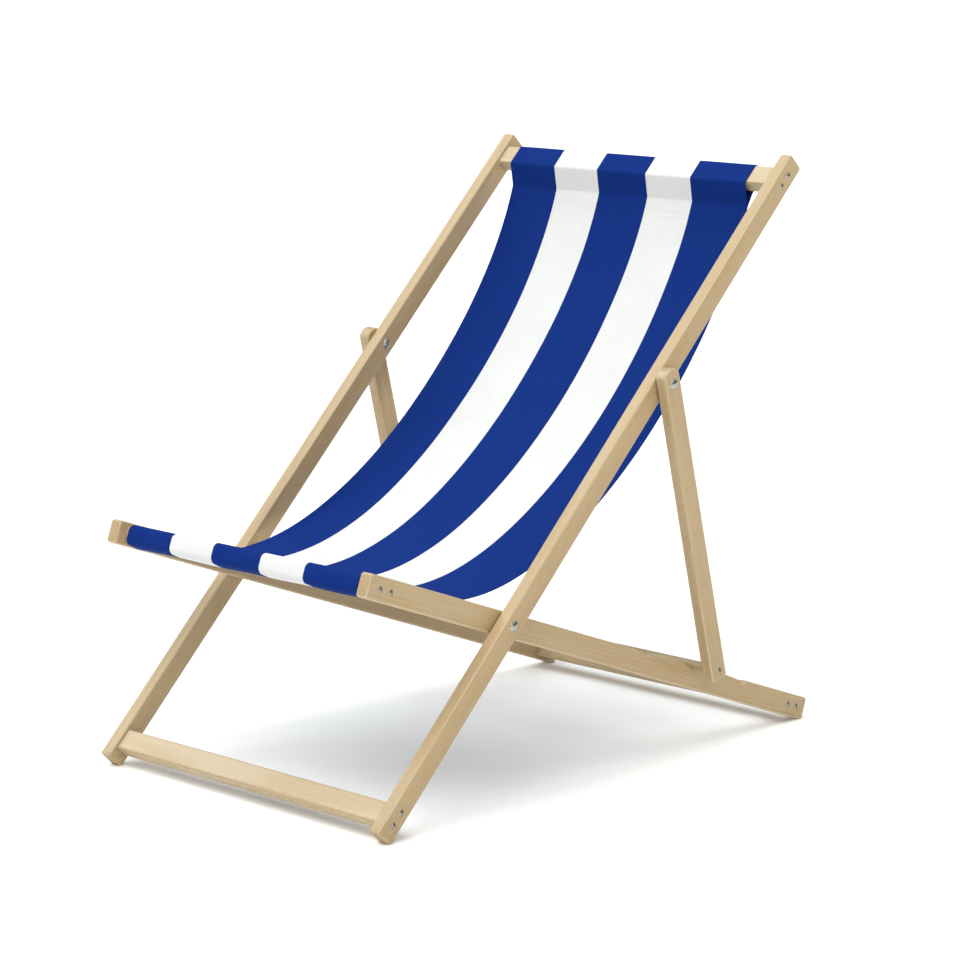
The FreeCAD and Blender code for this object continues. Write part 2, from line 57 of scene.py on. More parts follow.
class SidePlane:
    """Along a rail from its end, and deep from its upper edge."""

    def __init__(self, rail):
        self.deep = underside(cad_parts[rail])
        self.along = ACROSS.cross(self.deep)
        low = self.reach(rail)[0]
        self.start = self.along * low[0] + self.deep * low[1]

    def reach(self, node):
        """The lowest and highest (along, deep) of a node."""
        spots = [vertex.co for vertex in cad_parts[node].data.vertices]
        alongs = [p.dot(self.along) for p in spots]
        deeps = [p.dot(self.deep) for p in spots]
        return (min(alongs), min(deeps)), (max(alongs), max(deeps))

    def block(self, node):
        """(along, deep) of a node's two opposite corners, from the rail's start."""
        low, high = self.reach(node)
        a = self.start.dot(self.along)
        d = self.start.dot(self.deep)
        return (low[0] - a, low[1] - d), (high[0] - a, high[1] - d)

    def at(self, along, deep):
        return self.start + self.along * along + self.deep * deep


def underside(rail):
    """The outward direction of a rail's underside: its widest face that looks down."""
    areas = {}
    for face in rail.data.polygons:
        sideways = abs(face.normal.x) > NEARLY_NONE
        if face.normal.z < 0 and not sideways:
            key = tuple(round(c, 3) for c in face.normal)
            areas[key] = areas.get(key, Vector()) + face.normal * face.area
    return max(areas.values(), key=lambda total: total.length).normalized()


back_plane = SidePlane("back_rail_right")
seat_plane = SidePlane("seat_rail_right")
prop_plane = SidePlane("prop_leg_right")
for name, plane in (("back", back_plane), ("seat", seat_plane), ("prop", prop_plane)):
    angle = math.degrees(math.atan2(plane.along.z, plane.along.y))
    print(name, "rails run at", round(angle, 2), "degrees")

# %% [markdown]
# ## Studio and camera
#
# The chair stands on a pale floor that runs far past the view, so there is no
# horizon. Product studios hang one huge soft light overhead and add weaker soft
# boxes around it. Here the overhead light is the sky itself, bright at the top and
# dim at the sides, so that upper faces are light, side faces are darker and the
# shadow on the floor stays faint and soft. The soft boxes are wide suns: a sun
# lights floor and chair evenly, however far away.

# %% Floor
FLOOR_SIDE = 120.0
FLOOR_COLOUR = (0.90, 0.90, 0.89, 1)
FLOOR_GLOW = 0.13           # keeps the shadow faint
bpy.ops.mesh.primitive_plane_add(size=FLOOR_SIDE, location=(0, 0, 0))
floor = bpy.context.object
floor.name = "floor"

floor_paint = bpy.data.materials.new("pale_floor")
floor_paint.use_nodes = True
floor_shader = floor_paint.node_tree.nodes["Principled BSDF"]
floor_shader.inputs["Base Color"].default_value = FLOOR_COLOUR
floor_shader.inputs["Roughness"].default_value = 0.9
floor_shader.inputs["Specular IOR Level"].default_value = 0.1
floor_shader.inputs["Emission Color"].default_value = (1, 1, 0.98, 1)
floor_shader.inputs["Emission Strength"].default_value = FLOOR_GLOW
floor.data.materials.append(floor_paint)
print("floor side:", FLOOR_SIDE)

# %% Sky
SKY_OVERHEAD = 1.40
SKY_HORIZON = 0.85          # a thin bright band, so that low views have a pale backdrop
HORIZON_BAND = 0.04
SKY_HEIGHTS = (0.12, 0.3, 0.5, 0.7, 0.85)   # between, brightness is the height squared
SKY_TINT = (0.96, 0.99, 1.0)


def studio_sky():
    """A sky that is bright overhead, with a thin bright band at the horizon."""
    world = bpy.data.worlds.new("studio")
    world.use_nodes = True
    tree = world.node_tree
    direction = tree.nodes.new("ShaderNodeTexCoord")
    parts = tree.nodes.new("ShaderNodeSeparateXYZ")
    tree.links.new(direction.outputs["Generated"], parts.inputs[0])
    ramp = tree.nodes.new("ShaderNodeValToRGB")
    tree.links.new(parts.outputs["Z"], ramp.inputs[0])
    stops = ramp.color_ramp.elements
    stops[0].position = HORIZON_BAND
    stops[0].color = (SKY_HORIZON, SKY_HORIZON, SKY_HORIZON, 1)
    stops[1].position = 1.0
    stops[1].color = (1, 1, 1, 1)
    for height in SKY_HEIGHTS:
        stops.new(height).color = [height ** 2 * share for share in SKY_TINT] + [1]
    background = tree.nodes["Background"]
    tree.links.new(ramp.outputs[0], background.inputs["Color"])
    background.inputs["Strength"].default_value = SKY_OVERHEAD
    return world


bpy.context.scene.world = studio_sky()
print("sky overhead:", SKY_OVERHEAD)

# %% Soft boxes
# name, direction towards it, strength, how wide it looks in degrees, colour
SOFT_BOXES = (
    ("front_box", (0.15, -0.5, 0.85), 1.15, 40, (1.0, 1.0, 1.0)),
    ("left_box", (-0.8, -0.3, 0.8), 1.15, 40, (0.86, 0.96, 1.0)),
    ("right_box", (0.9, -0.5, 0.5), 0.36, 24, (1.0, 0.84, 0.62)),
    ("top_box", (0.0, 0.0, 1.0), 0.60, 60, (0.94, 0.98, 1.0)),
)


def soft_box(name, towards, strength, angle, colour):
    data = bpy.data.lights.new(name, "SUN")
    data.energy = strength
    data.color = colour
    data.angle = math.radians(angle)
    box = bpy.data.objects.new(name, data)
    box.rotation_mode = "QUATERNION"
    box.rotation_quaternion = Vector(towards).to_track_quat("Z", "Y")
    bpy.context.scene.collection.objects.link(box)


for box in SOFT_BOXES:
    soft_box(*box)
bpy.context.scene.view_settings.view_transform = "Standard"
print("soft boxes:", [box[0] for box in SOFT_BOXES])

# %% Camera
AIM = Vector((0.0161, 0.0078, 0.3574))
AZIMUTH = 44.72
ELEVATION = 10.61
DISTANCE = 4.3245
ROLL = 0.23
LENS = 123.47

azimuth = math.radians(AZIMUTH)
elevation = math.radians(ELEVATION)
backward = Vector(
    (
        math.sin(azimuth) * math.cos(elevation),
        -math.cos(azimuth) * math.cos(elevation),
        math.sin(elevation),
    )
)
camera_data = bpy.data.cameras.new("camera")
camera_data.lens = LENS
camera = bpy.data.objects.new("camera", camera_data)
camera.location = AIM + backward * DISTANCE
level = backward.to_track_quat("Z", "Y").to_matrix()
turn = level @ Matrix.Rotation(-math.radians(ROLL), 3, "Z")
camera.rotation_euler = turn.to_euler()
bpy.context.scene.collection.objects.link(camera)
bpy.context.scene.camera = camera
print("camera at", [round(c, 4) for c in camera.location])

# %% [markdown]
# ## Small helpers for shader nodes
#
# Every finish below is a handful of connected nodes. These helpers add a node, set
# its values and wire its inputs in one call, so each material reads as a recipe.

# %% Node helpers
def new_material(name):
    material = bpy.data.materials.new(name)
    material.use_nodes = True
    return material, material.node_tree, material.node_tree.nodes["Principled BSDF"]


def add(tree, kind, inputs=(), **settings):
    """A shader node with its settings, and each input set or wired."""
    node = tree.nodes.new("ShaderNode" + kind)
    for key, value in settings.items():
        setattr(node, key, value)
    for key, value in dict(inputs).items():
        if isinstance(value, bpy.types.NodeSocket):
            tree.links.new(value, node.inputs[key])
        else:
            node.inputs[key].default_value = value
    return node


def math_node(tree, operation, a, b=0.0, c=0.0):
    return add(tree, "Math", {0: a, 1: b, 2: c}, operation=operation).outputs[0]


def squeezed(tree, place, shares, rotation=(0.0, 0.0, 0.0)):
    """Places scaled along X, Y and Z: what is drawn comes out long where the share is small."""
    node = add(tree, "Mapping", {"Vector": place, "Scale": shares, "Rotation": rotation})
    return node.outputs[0]


def add_bump(tree, shader, relief, strength, depth):
    bump = add(tree, "Bump", {"Height": relief, "Strength": strength, "Distance": depth})
    tree.links.new(bump.outputs[0], shader.inputs["Normal"])


def fade(tree, value, low, high, to_low=0.0, to_high=1.0):
    """A value moved smoothly from one range to another."""
    node = add(
        tree,
        "MapRange",
        {
            "Value": value,
            "From Min": low,
            "From Max": high,
            "To Min": to_low,
            "To Max": to_high,
        },
        interpolation_type="SMOOTHSTEP",
    )
    return node.outputs["Result"]


def mix_colour(tree, share, a, b, blend="MIX"):
    """Colour a with a share of colour b mixed in."""
    node = add(tree, "Mix", data_type="RGBA", blend_type=blend)
    sockets = {"Factor": share, "A": a, "B": b}
    for socket in node.inputs:
        wanted = sockets.get(socket.name)
        usable = socket.enabled and wanted is not None
        if usable and isinstance(wanted, bpy.types.NodeSocket):
            tree.links.new(wanted, socket)
        elif usable:
            socket.default_value = wanted
    return [s for s in node.outputs if s.enabled][0]


def speckle(tree, place, scale, detail=2.0, roughness=0.5):
    """Noise from 0 to 1 at a place."""
    node = add(
        tree,
        "TexNoise",
        {
            "Vector": place,
            "Scale": scale,
            "Detail": detail,
            "Roughness": roughness,
        },
    )
    return node.outputs["Fac"]


def paint(red, green, blue):
    """A screen colour from 0 to 255, as the linear colour that a shader takes."""
    def linear(level):
        share = level / 255
        return share / 12.92 if share < 0.04045 else ((share + 0.055) / 1.055) ** 2.4

    return (linear(red), linear(green), linear(blue), 1.0)


# %% [markdown]
# ## Beech
#
# The rails, slats and legs are pale unvarnished beech, sanded smooth. Beech has
# faint growth rings, fine long fibres and, as its mark, thousands of short darker
# flecks that lie along the grain. A tiled wood pattern would be quick, but it would
# smear at the ends of a rail. A recipe in space works like real timber: the rings
# are cylinders round a line far off in the trunk, so rail ends show end grain by
# themselves. The recipe needs only the direction that the grain runs in. Each
# piece is cut from another place in the trunk, so no two look the same.

# %% Beech colours
BEECH_PALE = paint(191, 170, 135)
BEECH_MIDDLE = paint(181, 156, 117)
BEECH_DARK = paint(160, 132, 91)
BEECH_FLECK = paint(135, 106, 71)
BEECH_WARM = paint(180, 151, 109)
BEECH_END = paint(150, 124, 87)
# the next colour is a painted highlight for the rounded edges
BEECH_EDGE_HIGHLIGHT = paint(208, 194, 164)
# the next colour darkens the wood close to the floor
BEECH_NEAR_FLOOR = paint(138, 120, 94)
RING_WIDTH = 5.5 * MM
TRUNK_SPREAD = 0.35         # how far apart the pieces lie in the trunk
TRUNK_TURN = 2.4            # radians round the trunk from piece to piece
TRUNK_STEP = 1.7            # and along it
print("growth rings every", RING_WIDTH)


# %% Where a piece was cut from
def in_the_trunk(tree, along, number):
    """Places and directions as the timber sees them, with the grain along Y."""
    coordinates = add(tree, "TexCoord")
    runs_across = abs(along.x) > 0.9
    tilt = -math.atan2(along.z, along.y)
    rotation = (0, 0, math.radians(90)) if runs_across else (tilt, 0, 0)
    turn = TRUNK_TURN * number
    cut_from = (
        TRUNK_SPREAD * math.cos(turn),
        TRUNK_STEP * number,
        TRUNK_SPREAD * math.sin(turn),
    )
    place = add(
        tree,
        "Mapping",
        {"Vector": coordinates.outputs["Object"], "Location": cut_from, "Rotation": rotation},
    )
    facing = add(
        tree,
        "Mapping",
        {"Vector": coordinates.outputs["Normal"], "Rotation": rotation},
        vector_type="VECTOR",
    )
    return coordinates.outputs["Object"], place.outputs[0], facing.outputs[0]


def along_grain(tree, place, share):
    return squeezed(tree, place, (1.0, share, 1.0))


# %% Rings, fibres and flecks
def grain(tree, place):
    """The wood's colour, and the fibres, flecks and broad patches that it is made of."""
    rings = add(
        tree,
        "TexWave",
        {
            "Vector": along_grain(tree, place, 0.22),
            "Scale": 2 * math.pi / (20 * RING_WIDTH),
            "Distortion": 5.0,
            "Detail": 2.0,
            "Detail Scale": 0.35,
        },
        wave_type="RINGS",
        rings_direction="Y",
    ).outputs["Fac"]
    fibres = speckle(tree, along_grain(tree, place, 0.02), 950, detail=3.0, roughness=0.65)
    broad = speckle(tree, along_grain(tree, place, 0.12), 28, detail=3.0)
    dashes = speckle(tree, along_grain(tree, place, 0.16), 1250, detail=1.0)
    flecks = fade(tree, dashes, 0.63, 0.72)

    tone = math_node(tree, "MULTIPLY_ADD", rings, 0.10, math_node(tree, "MULTIPLY", fibres, 0.45))
    tone = math_node(tree, "MULTIPLY_ADD", broad, 0.55, tone)
    ramp = add(tree, "ValToRGB", {"Fac": tone})
    pale, dark = ramp.color_ramp.elements
    pale.position = 0.30
    pale.color = BEECH_PALE
    dark.position = 0.92
    dark.color = BEECH_DARK
    ramp.color_ramp.elements.new(0.58).color = BEECH_MIDDLE
    fleck_share = math_node(tree, "MULTIPLY", flecks, 0.38)
    colour = mix_colour(tree, fleck_share, ramp.outputs[0], BEECH_FLECK)
    return colour, fibres, flecks, broad


# %% End grain, painted highlight on the edges, and darker wood near the floor
def end_grain(tree, colour, place, turns):
    """End grain drinks more oil and dirt, so it is darker."""
    end = fade(tree, turns[1], 0.75, 0.98)
    pores = speckle(tree, place, 1400, detail=1.0)
    share = math_node(tree, "MULTIPLY", end, fade(tree, pores, 0.35, 0.75, 0.18, 0.55))
    return mix_colour(tree, share, colour, BEECH_END), end


def painted_edge_highlight(tree, colour, turns, broad):
    """A rounded edge faces no way squarely. Its lighter colour is a painted highlight; hands and
    sanding also polish it, which only the roughness shows.
    """
    flattest = math_node(tree, "MAXIMUM", turns[0], turns[1])
    flattest = math_node(tree, "MAXIMUM", flattest, turns[2])
    edge = fade(tree, flattest, 0.99, 0.82)
    share = math_node(tree, "MULTIPLY", edge, fade(tree, broad, 0.40, 0.62, 0.12, 0.50))
    return mix_colour(tree, share, colour, BEECH_EDGE_HIGHLIGHT), edge


def darker_near_floor(tree, colour, spot):
    """Darker wood close to the floor, in patches, fading out a few centimetres up."""
    height = add(tree, "SeparateXYZ", {"Vector": spot}).outputs["Z"]
    low_down = fade(tree, height, 0.045, 0.004)
    near_floor_noise = speckle(tree, spot, 160, detail=4.0, roughness=0.7)
    share = math_node(tree, "MULTIPLY", low_down, fade(tree, near_floor_noise, 0.42, 0.62, 0.0, 0.45))
    return mix_colour(tree, share, colour, BEECH_NEAR_FLOOR)


# %% The whole beech
def beech(name, along, number, warmth):
    """Beech with its grain along a direction, cut from its own place in the trunk."""
    material, tree, shader = new_material(name)
    spot, place, facing = in_the_trunk(tree, along, number)
    colour, fibres, flecks, broad = grain(tree, place)
    if warmth:
        colour = mix_colour(tree, warmth, colour, BEECH_WARM)
    parts = add(tree, "SeparateXYZ", {"Vector": facing})
    turns = [math_node(tree, "ABSOLUTE", out) for out in parts.outputs]
    colour, end = end_grain(tree, colour, place, turns)
    # the rounded edges get a painted highlight
    colour, edge = painted_edge_highlight(tree, colour, turns, broad)
    # darker wood close to the floor
    colour = darker_near_floor(tree, colour, spot)
    tree.links.new(colour, shader.inputs["Base Color"])

    rough = math_node(tree, "MULTIPLY_ADD", fibres, 0.16, 0.46)
    rough = math_node(tree, "MULTIPLY_ADD", edge, -0.08, rough)
    rough = math_node(tree, "MULTIPLY_ADD", end, 0.15, rough)
    tree.links.new(rough, shader.inputs["Roughness"])
    shader.inputs["Specular IOR Level"].default_value = 0.5
    relief = math_node(tree, "SUBTRACT", fibres, math_node(tree, "MULTIPLY", flecks, 0.6))
    add_bump(tree, shader, relief, 0.35, 0.15 * MM)
    return material


# %% Give each wooden piece its own timber
TIMBER = (
    ("back_rail", back_plane.along),
    ("seat_rail", seat_plane.along),
    ("prop_leg", prop_plane.along),
    ("top_slat", ACROSS),
    ("bottom_slat", ACROSS),
    ("front_bar", ACROSS),
    ("rear_slat", ACROSS),
    ("prop_crossbar", ACROSS),
)
WARMTH_STEP = 0.12          # some pieces are a little browner


def dress(node, material):
    """One material over a whole piece of the frame."""
    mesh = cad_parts[node].data
    mesh.materials.clear()
    mesh.materials.append(material)


timber_count = 0
for node in sorted(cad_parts):
    runs = [along for start, along in TIMBER if node.startswith(start)]
    if runs and "screws" not in node:
        warmth = WARMTH_STEP * (timber_count % 3)
        dress(node, beech("beech_" + node, runs[0], timber_count, warmth))
        timber_count += 1
print("wooden pieces:", timber_count)

# %% [markdown]
# ## Zinc and nylon
#
# Bolts, barrel nuts and screws are steel with a thin bright zinc coat. Zinc is
# never an even mirror: it has a faint cloudy pattern and fine scratches from the
# driver, so both the roughness and the tint wander a little. The spacer washers
# between the frames are off-white nylon.

# %% Zinc recipe
ZINC_SCRATCH = {"shares": (1, 1, 9), "rotation": (0.6, 0, 0)}   # fine lines, all one way


def zinc(name, dark, bright, roughness):
    """Bright zinc that wanders between two tints, with fine scratches."""
    material, tree, shader = new_material(name)
    place = add(tree, "TexCoord").outputs["Object"]
    cloud = speckle(tree, place, 420, detail=3.0)
    scratch = speckle(tree, squeezed(tree, place, **ZINC_SCRATCH), 900)
    colour = mix_colour(tree, fade(tree, cloud, 0.3, 0.7), dark, bright)
    tree.links.new(colour, shader.inputs["Base Color"])
    shader.inputs["Metallic"].default_value = 1.0
    rough = math_node(tree, "MULTIPLY_ADD", cloud, 0.18, roughness)
    rough = math_node(tree, "MULTIPLY_ADD", scratch, 0.10, rough)
    tree.links.new(rough, shader.inputs["Roughness"])
    add_bump(tree, shader, scratch, 0.25, 0.03 * MM)
    return material


bolt_zinc = zinc("bolt_zinc", paint(150, 151, 143), paint(182, 184, 176), 0.12)
screw_zinc = zinc("screw_zinc", paint(140, 138, 126), paint(176, 174, 162), 0.14)
print("zinc finishes:", bolt_zinc.name, screw_zinc.name)


# %% Nylon recipe
def nylon():
    """Off-white nylon with a faint milky cloud."""
    material, tree, shader = new_material("nylon")
    place = add(tree, "TexCoord").outputs["Object"]
    cloud = speckle(tree, place, 260)
    colour = mix_colour(tree, cloud, paint(205, 200, 188), paint(226, 222, 210))
    tree.links.new(colour, shader.inputs["Base Color"])
    rough = math_node(tree, "MULTIPLY_ADD", cloud, 0.12, 0.40)
    tree.links.new(rough, shader.inputs["Roughness"])
    shader.inputs["Subsurface Weight"].default_value = 0.05
    add_bump(tree, shader, cloud, 0.15, 0.05 * MM)
    return material


washer_nylon = nylon()

# %% Dress the fasteners
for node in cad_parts:
    if "screws" in node:
        dress(node, screw_zinc)
    elif "bolt" in node or "nut" in node:
        dress(node, bolt_zinc)
    elif "washer" in node:
        dress(node, washer_nylon)
print("metal and nylon dressed")

# %% [markdown]
# ## The sling's side line
#
# The sling is one strip of canvas. Its upper end goes round the top slat and is
# sewn to itself, its lower end goes round the front bar, and between them it hangs
# under its own weight. In side view that is one long line: a short tail, the loop
# round the slat, the long sag, the loop round the bar, and a second tail. The
# loops are straight runs joined by arcs, since the cloth is pulled tight over
# wood. The sag is one curve with a handle at each end, which sets how steeply the
# cloth leaves the slat and the bar.

# %% Sling sizes
CLOTH_THICK = 1.0 * MM
CLOTH_OFF_WOOD = 1.0 * MM   # middle of the cloth to the wood
TAIL = 16 * MM              # cloth sewn down past each seam
SEAM_BELOW_SLAT = 20 * MM
SEAM_BEHIND_SLAT = 5 * MM
TOP_HANDLE = (230 * MM, -107.1)     # how long, and its heading in degrees
FRONT_HANDLE = (301 * MM, -36.4)
TOP_TAIL_LONGER = 1.2       # the curve sets off slowly, so the tail takes a larger share
FRONT_SEAM_SHARE = 0.97
LAP = 1.15 * CLOTH_THICK    # middle of one layer to the middle of the next
HANG_UNDER_BAR = 7 * MM
SLAT_CORNER = 4 * MM
BAR_CORNER = 8 * MM
BAR_EDGE_CORNER = 3 * MM
SLACK_CORNERS = (12 * MM, 14 * MM)
TOP_TAIL_BEND = 6 * MM
SEAM_BEND = 5 * MM


def heading(degrees):
    """A direction in side view, measured up from the rearward floor."""
    turn = math.radians(degrees)
    return Vector((0, math.cos(turn), math.sin(turn)))


# %% Helpers for lines with rounded corners
LEG_SHARE = 0.48            # an arc takes less than half of either leg


def arc_corner(before, corner, after, radius, step):
    """Places along the arc that rounds one corner of a line."""
    back = (before - corner).normalized()
    on = (after - corner).normalized()
    half = back.angle(on) / 2
    longest_cut = LEG_SHARE * min((before - corner).length, (after - corner).length)
    cut = min(radius / math.tan(half), longest_cut)
    radius = cut * math.tan(half)
    middle = corner + (back + on).normalized() * (radius / math.sin(half))
    start = (corner + back * cut - middle).normalized()
    end = (corner + on * cut - middle).normalized()
    count = max(2, math.ceil(radius * start.angle(end) / step))
    return [middle + start.slerp(end, i / count) * radius for i in range(count + 1)]


def spaced_run(start, end, step):
    """Places from start to end, without the end."""
    count = max(1, round((end - start).length / step))
    return [start.lerp(end, i / count) for i in range(count)]


def rounded_line(corners, radii, run_step=4 * MM, arc_step=0.9 * MM):
    """A line through corners, with every inner corner rounded by its radius."""
    places = [corners[0]]
    for i in range(1, len(corners) - 1):
        arc = arc_corner(places[-1], corners[i], corners[i + 1], radii[i - 1], arc_step)
        places += spaced_run(places[-1], arc[0], run_step)[1:] + arc
    return places + spaced_run(places[-1], corners[-1], run_step)[1:] + [corners[-1]]


# %% The hanging curve
slat_low, slat_high = back_plane.block("top_slat")
bar_low, bar_high = seat_plane.block("front_bar")
top_seam = back_plane.at(slat_low[0] - SEAM_BELOW_SLAT, slat_high[1] + SEAM_BEHIND_SLAT)
bar_edge = seat_plane.at(bar_high[0] + CLOTH_OFF_WOOD / 2, bar_low[1] - CLOTH_OFF_WOOD)
HANDLES = (
    top_seam,
    top_seam + heading(TOP_HANDLE[1]) * TOP_HANDLE[0],
    bar_edge + heading(FRONT_HANDLE[1]) * FRONT_HANDLE[0],
    bar_edge,
)
SAG_STEPS = 170
SAG_STRIDE = 0.001


def sag(share):
    """A place on the hanging curve, from the top seam at 0 to the front bar at 1."""
    rest = 1 - share
    weights = (rest ** 3, 3 * rest ** 2 * share, 3 * rest * share ** 2, share ** 3)
    place = Vector()
    for weight, handle in zip(weights, HANDLES):
        place += handle * weight
    return place


def sag_heading(share):
    ahead = sag(min(1, share + SAG_STRIDE))
    behind = sag(max(0, share - SAG_STRIDE))
    return (ahead - behind).normalized()


def under(direction):
    """The side of the cloth that faces down, or into a sleeve."""
    return Vector((0, -direction.z, direction.y))


sag_line = [sag(i / SAG_STEPS) for i in range(SAG_STEPS + 1)]
sag_length = sum((b - a).length for a, b in zip(sag_line, sag_line[1:]))
print("hanging length", round(sag_length, 4), "lowest", round(min(p.z for p in sag_line), 4))

# %% The whole line, tail to tail
off = CLOTH_OFF_WOOD


def lapped(share):
    """A place one layer under the hanging curve."""
    return sag(share) + under(sag_heading(share)) * LAP


top_tail = lapped(TOP_TAIL_LONGER * TAIL / sag_length)
top_lap = lapped(0)
top_loop = rounded_line(
    [
        top_tail,
        top_lap,
        back_plane.at(slat_low[0] - off, slat_high[1] + off),
        back_plane.at(slat_high[0] + off, slat_high[1] + off),
        back_plane.at(slat_high[0] + off, slat_low[1] - off),
        back_plane.at(slat_low[0] - off, slat_low[1] - off),
        top_seam,
        sag_line[2],
    ],
    [TOP_TAIL_BEND] + [SLAT_CORNER] * 4 + [SEAM_BEND],
)

front_lap = lapped(FRONT_SEAM_SHARE)
front_tail = lapped(FRONT_SEAM_SHARE - TAIL / sag_length)
front_loop = rounded_line(
    [
        sag_line[-3],
        bar_edge,
        seat_plane.at(bar_low[0] - off, bar_low[1] - off),
        seat_plane.at(bar_low[0] - off, bar_high[1] + HANG_UNDER_BAR - 3 * MM),
        seat_plane.at(bar_high[0] - 6 * MM, bar_high[1] + HANG_UNDER_BAR),
        front_lap,
        front_tail,
    ],
    [BAR_EDGE_CORNER, BAR_CORNER, *SLACK_CORNERS, SEAM_BEND],
)
line = top_loop + sag_line[3:-3] + front_loop
lengths = [0.0]
for a, b in zip(line, line[1:]):
    lengths.append(lengths[-1] + (b - a).length)
CLOTH_LONG = lengths[-1]
PANEL_START = lengths[len(top_loop)]
PANEL_END = lengths[-len(front_loop)]
print("cloth length", round(CLOTH_LONG, 4), "stations", len(line))

# %% [markdown]
# ## The sling's cloth
#
# The strip could be a flat grid that is thickened by a modifier, but then its
# edges would be bare cuts. Real deck chair canvas has a folded hem down each side.
# So the strip's cross-section is drawn once, as a thin outline with rounded edges
# and a step on its underside where the hem is doubled, and that outline is carried
# along the side line. The cloth isn't ironed flat either: it waves by a millimetre
# where it hangs free, and puckers a little beside each seam.

# %% Cross-section of the strip
sling_spots = [vertex.co.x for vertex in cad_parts["sling"].data.vertices]
CLOTH_LEFT = min(sling_spots)
CLOTH_RIGHT = max(sling_spots)
HEM = 11 * MM
HEM_THICK = 0.45 * MM
HEM_STEP = 0.3 * MM         # how gently the hem's inner step rises
HEM_SHARES = (0.10, 0.4, 0.7, 0.9)
GROOVE = 0.12 * MM          # the hem's stitches pull the cloth in
EDGE = 0.2 * MM
GRID = 5 * MM


def cross_section():
    """(across, height) all round the strip's cut edge, in metres."""
    half = CLOTH_THICK / 2
    low = -half - HEM_THICK
    inner_left = CLOTH_LEFT + HEM
    inner_right = CLOTH_RIGHT - HEM
    count = round((inner_right - inner_left) / GRID)
    middle = [inner_left + (inner_right - inner_left) * i / count for i in range(1, count)]
    hem_steps = [HEM * share for share in HEM_SHARES]
    left = [CLOTH_LEFT + step for step in hem_steps]
    right = [CLOTH_RIGHT - step for step in reversed(hem_steps)]
    groove = half - GROOVE
    above = [(x, half) for x in left] + [(inner_left, groove)] + [(x, half) for x in middle]
    above += [(inner_right, groove)] + [(x, half) for x in right]
    below = [(x, low) for x in reversed(right)]
    below += [(inner_right, low), (inner_right - HEM_STEP, -half)]
    below += [(x, -half) for x in reversed(middle)]
    below += [(inner_left + HEM_STEP, -half), (inner_left, low)]
    below += [(x, low) for x in reversed(left)]
    edge = [(EDGE, half * 0.8), (0.0, -EDGE), (EDGE, low * 0.85)]
    edge_right = [(CLOTH_RIGHT - inset, height) for inset, height in edge]
    edge_left = [(CLOTH_LEFT + inset, height) for inset, height in reversed(edge)]
    return above + edge_right + below + edge_left


section = cross_section()
print("points round the cut edge:", len(section))


# %% Waves and puckers
BROAD_WAVE = 1.5 * MM
SMALL_WAVE = 0.35 * MM
PUCKER = 0.45 * MM
PUCKER_REACH = 18 * MM
SLACK_WAVE = 1.6 * MM
HELD_AT_TOP = 120 * MM      # the seams hold the cloth flat for this far
HELD_AT_FRONT = 100 * MM
FRONT_PUCKERS = 25 * MM     # where they gather, before the panel's end
SLACK_MIDDLE = 85 * MM      # the loose cloth under the bar, past the panel's end
SLACK_REACH = 35 * MM


def step_up(value, low, high):
    """0 at low and 1 at high, with a soft start and end."""
    share = min(1.0, max(0.0, (value - low) / (high - low)))
    return share * share * (3 - 2 * share)


def slack(along):
    """How freely the cloth hangs at a place on its line, from 0 to 1."""
    at_top = step_up(along, PANEL_START, PANEL_START + HELD_AT_TOP)
    at_front = step_up(along, PANEL_END, PANEL_END - HELD_AT_FRONT)
    return at_top * at_front


def under_bar(along):
    """1 in the loose cloth that hangs under the front bar."""
    middle = PANEL_END + SLACK_MIDDLE
    before = step_up(along, middle - SLACK_REACH, middle)
    after = step_up(along, middle + SLACK_REACH, middle)
    return before * after


def ripple(across, along, wide, long, layer):
    """Smooth bumps from about -1 to 1, about this wide and this long."""
    return noise.noise(Vector((across / wide, along / long, layer)))


def wave(across, along):
    """How far the cloth stands proud of its line, in metres."""
    broad = BROAD_WAVE * ripple(across, along, 0.15, 0.24, 3.7)
    small = SMALL_WAVE * ripple(across, along, 0.045, 0.09, 8.1)
    height = (broad + small) * slack(along)
    pucker = PUCKER * ripple(across, along, 0.016, 0.05, 1.3)
    for seam in (PANEL_START, PANEL_END - FRONT_PUCKERS):
        height += pucker * math.exp(-abs(along - seam) / PUCKER_REACH)
    loose = SLACK_WAVE * ripple(across, 0.0, 0.08, 1.0, 5.5)
    return height + loose * under_bar(along)


# %% Carry the section along the line
def headings(places):
    """The direction of travel at each place on a line."""
    found = []
    for i in range(len(places)):
        before = places[max(0, i - 1)]
        after = places[min(len(places) - 1, i + 1)]
        found.append((after - before).normalized())
    return found


def mesh_of_cloth(name, verts, faces, flat_places):
    """A smooth mesh that knows where each of its vertices lies on the flat cloth."""
    mesh = bpy.data.meshes.new(name)
    mesh.from_pydata(verts, [], faces)
    uv = mesh.uv_layers.new(name="flat_cloth")
    for loop in mesh.loops:
        uv.data[loop.index].uv = flat_places[loop.vertex_index]
    mesh.shade_smooth()
    return mesh


def sling_mesh():
    """The strip's skin: the section at every station, and a cap at each end."""
    verts, faces, flat_places = [], [], []
    for place, along, direction in zip(line, lengths, headings(line)):
        outward = -under(direction)
        for across, height in section:
            lift = height + wave(across, along)
            verts.append(place + outward * lift + ACROSS * across)
            flat_places.append((across, along))
    ring = len(section)
    for i in range(len(line) - 1):
        here = i * ring
        there = here + ring
        for j in range(ring):
            k = (j + 1) % ring
            faces.append((here + j, here + k, there + k, there + j))
    last = (len(line) - 1) * ring
    faces.append(tuple(range(ring)))
    faces.append(tuple(last + j for j in reversed(range(ring))))
    return mesh_of_cloth("sling_cloth", verts, faces, flat_places)


sling_cloth = bpy.data.objects.new("sling_cloth", sling_mesh())
bpy.context.scene.collection.objects.link(sling_cloth)
print("sling faces:", len(sling_cloth.data.polygons))

